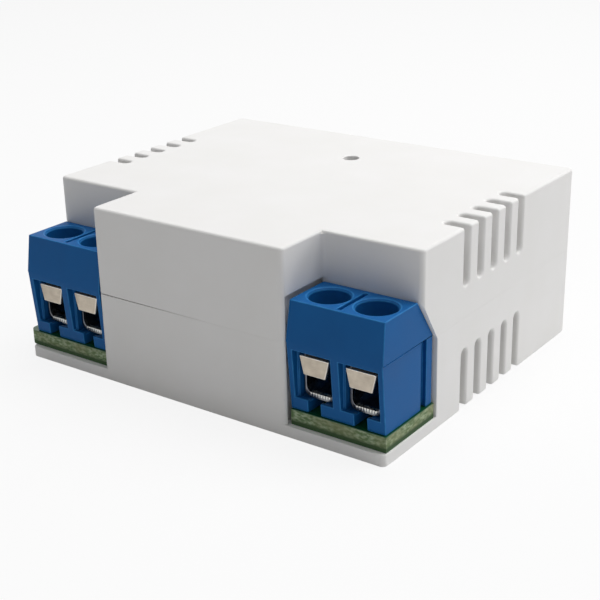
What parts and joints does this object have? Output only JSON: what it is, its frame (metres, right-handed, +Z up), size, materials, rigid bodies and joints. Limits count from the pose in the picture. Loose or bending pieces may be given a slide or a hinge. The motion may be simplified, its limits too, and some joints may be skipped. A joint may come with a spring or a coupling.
{
  "type": "smart relay module",
  "caption": "Small white relay box with vented sides and a stepped plan, with blue screw terminal blocks in its front corners on a green board.",
  "frame": {"origin": "middle of the base face that the module rests on", "axes": "+X to the right seen from the terminal side, +Y to the back, +Z up through the lid"},
  "size_m": [0.0458, 0.0378, 0.0187],
  "materials": {
    "white_plastic": "fine moulded",
    "blue_plastic": "moulded",
    "board": "solder mask with sawn edges",
    "tinned_brass": "bright tin",
    "guard_steel": "plated strip",
    "screw_steel": "zinc plated",
    "black_plastic": "moulded",
    "pale_plastic": "moulded",
    "copper_wire": "enamelled",
    "relay_iron": "plated",
    "contact_brass": "bright",
    "tinned_pin": "tinned",
    "resistor_coat": "lacquer",
    "varistor_coat": "epoxy",
    "can_sleeve": "sleeved can",
    "ferrite": "sintered",
    "winding_tape": "film tape",
    "radio_board": "solder mask",
    "shield_steel": "drawn can",
    "led_resin": "clear resin",
    "chip_ceramic": "ceramic"
  },
  "bodies": {
    "module": {"lower_case": "white_plastic", "upper_case": "white_plastic", "circuit_board": "board", "left_terminal_housing": "blue_plastic", "right_terminal_housing": "blue_plastic", "terminal_1_cage": "tinned_brass", "terminal_2_cage": "tinned_brass", "terminal_3_cage": "tinned_brass", "terminal_4_cage": "tinned_brass", "relay_base": "black_plastic", "relay_cover": "black_plastic", "relay_bobbin": "pale_plastic", "relay_winding": "copper_wire", "relay_core": "relay_iron", "relay_yoke": "relay_iron", "relay_fixed_contact": "contact_brass", "relay_coil_pins": "tinned_pin", "fuse_resistor": "resistor_coat", "varistor": "varistor_coat", "bridge_rectifier": "black_plastic", "input_capacitor": "can_sleeve", "filter_choke": "copper_wire", "power_controller": "black_plastic", "transformer_core": "ferrite", "transformer_bobbin": "black_plastic", "transformer_winding": "winding_tape", "output_capacitor": "can_sleeve", "radio_board": "radio_board", "radio_shield": "shield_steel", "button_body": "black_plastic", "button_cover": "shield_steel", "status_led": "led_resin", "chip_parts": "chip_ceramic"},
    "guard_1": {"terminal_1_guard": "guard_steel"},
    "screw_1": {"terminal_1_screw": "screw_steel"},
    "guard_2": {"terminal_2_guard": "guard_steel"},
    "screw_2": {"terminal_2_screw": "screw_steel"},
    "guard_3": {"terminal_3_guard": "guard_steel"},
    "screw_3": {"terminal_3_screw": "screw_steel"},
    "guard_4": {"terminal_4_guard": "guard_steel"},
    "screw_4": {"terminal_4_screw": "screw_steel"},
    "plunger": {"button_plunger": "black_plastic"},
    "armature": {"relay_armature": "relay_iron", "relay_spring": "contact_brass"}
  },
  "joints": [
    {"name": "guard_1_slide", "type": "slide", "parent": "module", "child": "guard_1", "axis": [0, 0, 1], "range_m": [-0.0012, 0]},
    {"name": "screw_1_turn", "type": "hinge", "parent": "guard_1", "child": "screw_1", "pos_m": [-0.01954, -0.01542, 0.0118], "axis": [0, 0, 1], "range_deg": [-960, 0]},
    {"name": "guard_2_slide", "type": "slide", "parent": "module", "child": "guard_2", "axis": [0, 0, 1], "range_m": [-0.0012, 0]},
    {"name": "screw_2_turn", "type": "hinge", "parent": "guard_2", "child": "screw_2", "pos_m": [-0.01446, -0.01542, 0.0118], "axis": [0, 0, 1], "range_deg": [-960, 0]},
    {"name": "guard_3_slide", "type": "slide", "parent": "module", "child": "guard_3", "axis": [0, 0, 1], "range_m": [-0.0012, 0]},
    {"name": "screw_3_turn", "type": "hinge", "parent": "guard_3", "child": "screw_3", "pos_m": [0.01446, -0.01542, 0.0118], "axis": [0, 0, 1], "range_deg": [-960, 0]},
    {"name": "guard_4_slide", "type": "slide", "parent": "module", "child": "guard_4", "axis": [0, 0, 1], "range_m": [-0.0012, 0]},
    {"name": "screw_4_turn", "type": "hinge", "parent": "guard_4", "child": "screw_4", "pos_m": [0.01954, -0.01542, 0.0118], "axis": [0, 0, 1], "range_deg": [-960, 0]},
    {"name": "button_press", "type": "slide", "parent": "module", "child": "plunger", "axis": [0, 0, 1], "range_m": [-0.00025, 0], "stiffness_N_per_m": 6000},
    {"name": "armature_swing", "type": "hinge", "parent": "module", "child": "armature", "pos_m": [0.0153, -0.00115, 0.00845], "axis": [0, 0, 1], "range_deg": [-4, 0], "stiffness_Nm_per_rad": 0.02, "springref_deg": 2.86}
  ],
  "couplings": [
    {"joint": "screw_1_turn", "follows": "guard_1_slide", "rad_per_m": 13963},
    {"joint": "screw_2_turn", "follows": "guard_2_slide", "rad_per_m": 13963},
    {"joint": "screw_3_turn", "follows": "guard_3_slide", "rad_per_m": 13963},
    {"joint": "screw_4_turn", "follows": "guard_4_slide", "rad_per_m": 13963}
  ]
}
